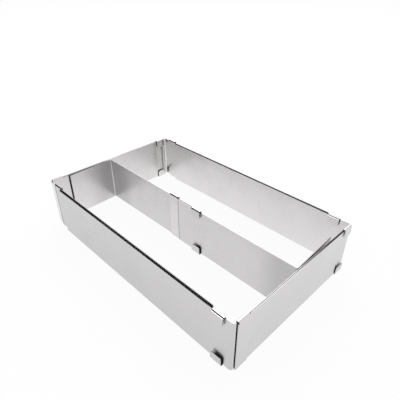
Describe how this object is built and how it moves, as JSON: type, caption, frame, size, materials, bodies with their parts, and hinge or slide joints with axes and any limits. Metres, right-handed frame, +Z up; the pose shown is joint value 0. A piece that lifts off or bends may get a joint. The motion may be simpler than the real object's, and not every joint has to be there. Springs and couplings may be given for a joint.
{
  "type": "adjustable rectangular mousse frame",
  "caption": "Rectangular baking and mousse frame of bent steel sheets that hook together and slide open in length and width, with a sliding divider.",
  "frame": {"origin": "middle of the footprint, on the table that the hooks stand on", "axes": "+X along the long walls, towards the right and front corners; +Y along the short walls, towards the back and right corners; +Z up"},
  "size_m": [0.2526, 0.158, 0.05],
  "materials": {
    "stainless_sheet": "smooth satin stainless sheet, thin and slightly reflective, with bare cut edges"
  },
  "bodies": {
    "left_corner": {"corner_sheet_left": "stainless_sheet"},
    "front_corner": {"corner_sheet_front": "stainless_sheet"},
    "back_corner": {"corner_sheet_back": "stainless_sheet"},
    "right_corner": {"corner_sheet_right": "stainless_sheet"},
    "divider_left": {"divider_sheet_left": "stainless_sheet"},
    "divider_right": {"divider_sheet_right": "stainless_sheet"}
  },
  "joints": [
    {"name": "length_slide", "type": "slide", "parent": "left_corner", "child": "front_corner", "axis": [1, 0, 0], "range_m": [0, 0.205]},
    {"name": "front_compartment_slide", "type": "slide", "parent": "left_corner", "child": "divider_left", "axis": [0, 1, 0], "range_m": [0, 0.063]},
    {"name": "back_compartment_slide", "type": "slide", "parent": "divider_left", "child": "back_corner", "axis": [0, 1, 0], "range_m": [0, 0.057]},
    {"name": "back_length_slide", "type": "slide", "parent": "back_corner", "child": "right_corner", "axis": [1, 0, 0], "range_m": [0, 0.205]},
    {"name": "divider_length_slide", "type": "slide", "parent": "divider_left", "child": "divider_right", "axis": [1, 0, 0], "range_m": [-0.098, 0]}
  ],
  "couplings": [
    {"joint": "back_length_slide", "follows": "length_slide", "ratio": 1}
  ]
}
